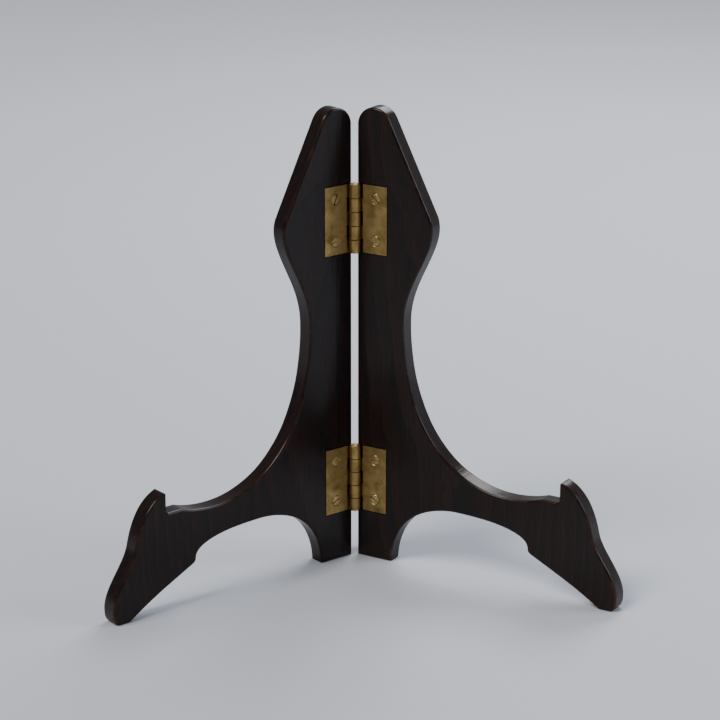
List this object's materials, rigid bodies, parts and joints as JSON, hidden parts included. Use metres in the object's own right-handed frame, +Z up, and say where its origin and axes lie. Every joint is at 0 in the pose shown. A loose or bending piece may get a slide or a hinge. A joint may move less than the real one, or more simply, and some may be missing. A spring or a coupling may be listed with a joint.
{
  "type": "folding plate display stand",
  "caption": "Folding V-shaped wooden plate stand: boards hinged along their rear edges, with upturned hooks for the plate's rim and sloping rests for its back.",
  "frame": {"origin": "bottom centre of the stand's box when it stands open at 110 degrees, at table level, on its left-right plane of symmetry", "axes": "+X to the right seen from the front, -Y to the front where the hooks are, +Z up; the hinge pins' axis is vertical at the back"},
  "size_m": [0.1896, 0.0686, 0.176],
  "materials": {
    "stained_hardwood": "nearly black walnut stain under a satin to gloss varnish",
    "hinge_brass": "aged, satin",
    "screw_brass": "aged, satin, brighter on the heads"
  },
  "bodies": {
    "left_board": {"left_frame": "stained_hardwood", "upper_hinge_left_leaf": "hinge_brass", "lower_hinge_left_leaf": "hinge_brass", "upper_hinge_pin": "hinge_brass", "lower_hinge_pin": "hinge_brass", "upper_hinge_left_top_screw": "screw_brass", "upper_hinge_left_bottom_screw": "screw_brass", "lower_hinge_left_top_screw": "screw_brass", "lower_hinge_left_bottom_screw": "screw_brass"},
    "right_board": {"right_frame": "stained_hardwood", "upper_hinge_right_leaf": "hinge_brass", "lower_hinge_right_leaf": "hinge_brass", "upper_hinge_right_top_screw": "screw_brass", "upper_hinge_right_bottom_screw": "screw_brass", "lower_hinge_right_top_screw": "screw_brass", "lower_hinge_right_bottom_screw": "screw_brass"}
  },
  "joints": [
    {"name": "fold", "type": "hinge", "parent": "left_board", "child": "right_board", "pos_m": [0, 0.02779, 0], "axis": [0, 0, 1], "range_deg": [-110, 70]}
  ]
}
